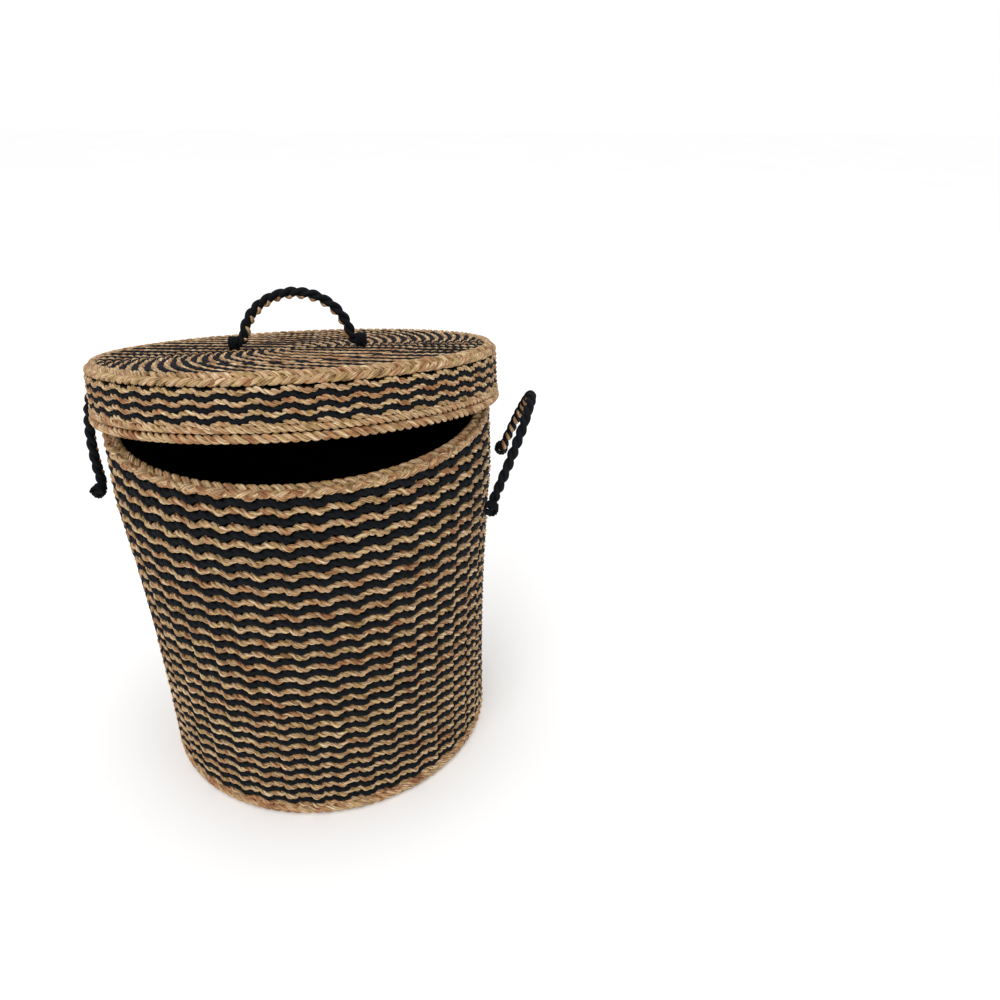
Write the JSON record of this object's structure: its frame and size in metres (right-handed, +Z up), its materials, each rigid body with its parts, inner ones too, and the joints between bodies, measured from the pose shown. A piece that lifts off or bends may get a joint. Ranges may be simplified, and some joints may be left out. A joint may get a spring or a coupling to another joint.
{
  "type": "laundry basket",
  "caption": "Round woven laundry basket in striped natural and black seagrass, with a deep lid tilted open, side rope handles and a rope lid handle.",
  "frame": {"origin": "centre of the flat underside of the base mat, on the floor", "axes": "+Z up along the basket's axis; -Y towards the front, where the lid is raised; +X towards the right handle"},
  "size_m": [0.4765, 0.4219, 0.5282],
  "materials": {
    "natural_seagrass_weave": "matte twisted natural seagrass",
    "natural_seagrass_braid": "matte braided natural seagrass",
    "natural_woven_mat": "matte woven natural seagrass",
    "two_tone_woven_mat": "matte rings of natural and black-dyed seagrass",
    "dyed_seagrass_cord": "matte blue-black dyed seagrass",
    "dyed_lashing_twine": "matte blue-black dyed twine",
    "two_tone_rope": "matte twisted rope, one natural strand and one black"
  },
  "bodies": {
    "basket": {"base_mat": "natural_woven_mat", "foot_border": "natural_seagrass_braid", "natural_weave_wall": "natural_seagrass_weave", "black_row_01": "dyed_seagrass_cord", "black_row_02": "dyed_seagrass_cord", "black_row_03": "dyed_seagrass_cord", "black_row_04": "dyed_seagrass_cord", "black_row_05": "dyed_seagrass_cord", "black_row_06": "dyed_seagrass_cord", "black_row_07": "dyed_seagrass_cord", "black_row_08": "dyed_seagrass_cord", "black_row_09": "dyed_seagrass_cord", "black_row_10": "dyed_seagrass_cord", "black_row_11": "dyed_seagrass_cord", "black_row_12": "dyed_seagrass_cord", "black_row_13": "dyed_seagrass_cord", "black_row_14": "dyed_seagrass_cord", "black_row_15": "dyed_seagrass_cord", "black_row_16": "dyed_seagrass_cord", "black_row_17": "dyed_seagrass_cord", "black_row_18": "dyed_seagrass_cord", "black_row_19": "dyed_seagrass_cord", "black_row_20": "dyed_seagrass_cord", "black_row_21": "dyed_seagrass_cord", "black_row_22": "dyed_seagrass_cord", "black_row_23": "dyed_seagrass_cord", "black_row_24": "dyed_seagrass_cord", "black_row_25": "dyed_seagrass_cord", "black_inner_weave": "dyed_seagrass_cord", "rim_braid": "natural_seagrass_braid", "right_handle_front_lashing": "dyed_lashing_twine", "right_handle_rear_lashing": "dyed_lashing_twine", "left_handle_front_lashing": "dyed_lashing_twine", "left_handle_rear_lashing": "dyed_lashing_twine"},
    "lid": {"lid_top_mat": "two_tone_woven_mat", "lid_edge_braid": "natural_seagrass_braid", "lid_natural_skirt": "natural_seagrass_weave", "lid_black_row_1": "dyed_seagrass_cord", "lid_black_row_2": "dyed_seagrass_cord", "lid_black_row_3": "dyed_seagrass_cord", "lid_second_hem_rope": "natural_seagrass_braid", "lid_hem_rope": "natural_seagrass_braid", "lid_handle_left_lashing": "dyed_lashing_twine", "lid_handle_right_lashing": "dyed_lashing_twine"},
    "right_handle": {"right_handle": "two_tone_rope"},
    "left_handle": {"left_handle": "two_tone_rope"},
    "lid_handle": {"lid_handle": "two_tone_rope"}
  },
  "joints": [
    {"name": "lid_tilt", "type": "hinge", "parent": "basket", "child": "lid", "pos_m": [-0.03028, 0.20022, 0.3622], "axis": [-0.9888, -0.1495, 0], "range_deg": [-13.2, 75]},
    {"name": "right_handle_swing", "type": "hinge", "parent": "basket", "child": "right_handle", "pos_m": [0.207, -0.01447, 0.332], "axis": [0.0698, 0.9976, 0], "range_deg": [-16, 155]},
    {"name": "left_handle_swing", "type": "hinge", "parent": "basket", "child": "left_handle", "pos_m": [-0.20671, 0.01809, 0.332], "axis": [-0.0872, -0.9962, 0], "range_deg": [-1, 170]},
    {"name": "lid_handle_fold", "type": "hinge", "parent": "lid", "child": "lid_handle", "pos_m": [-0.00297, 0.01963, 0.47247], "axis": [0.9994, 0.0039, 0.0341], "range_deg": [-75, 75]}
  ]
}
